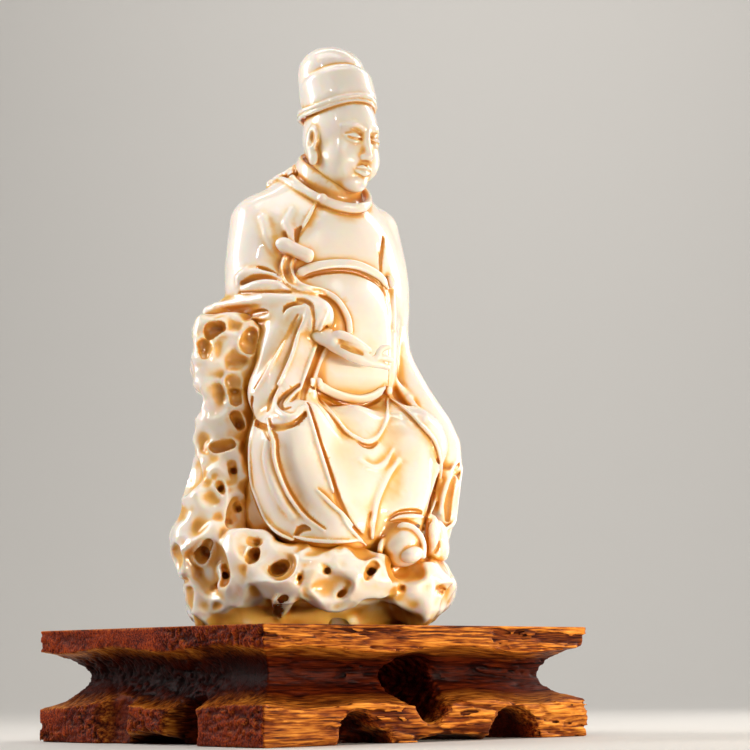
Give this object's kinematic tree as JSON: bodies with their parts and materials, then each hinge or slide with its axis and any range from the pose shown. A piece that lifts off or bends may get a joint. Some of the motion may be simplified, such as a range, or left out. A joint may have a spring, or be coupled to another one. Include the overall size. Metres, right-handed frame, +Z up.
{
  "type": "daoist deity figurine",
  "caption": "Seated robed deity in ivory-white glazed porcelain on a pierced rock, holding a curved sceptre, on a carved wooden stand with lobed feet.",
  "frame": {"origin": "middle of the wooden stand's underside", "axes": "+Z up; the stand's long sides run along X and its front looks along -Y; the figure is turned 12 degrees on the stand, towards -X"},
  "size_m": [0.1844, 0.1504, 0.304],
  "materials": {
    "porcelain": "ivory white porcelain under a thick clear glossy glaze, amber where the glaze pools",
    "wood": "carved hardwood, golden brown to red brown, satin oil and wax, open grain"
  },
  "bodies": {
    "root": {"porcelain_figure": "porcelain", "wooden_stand": "wood"}
  },
  "joints": []
}
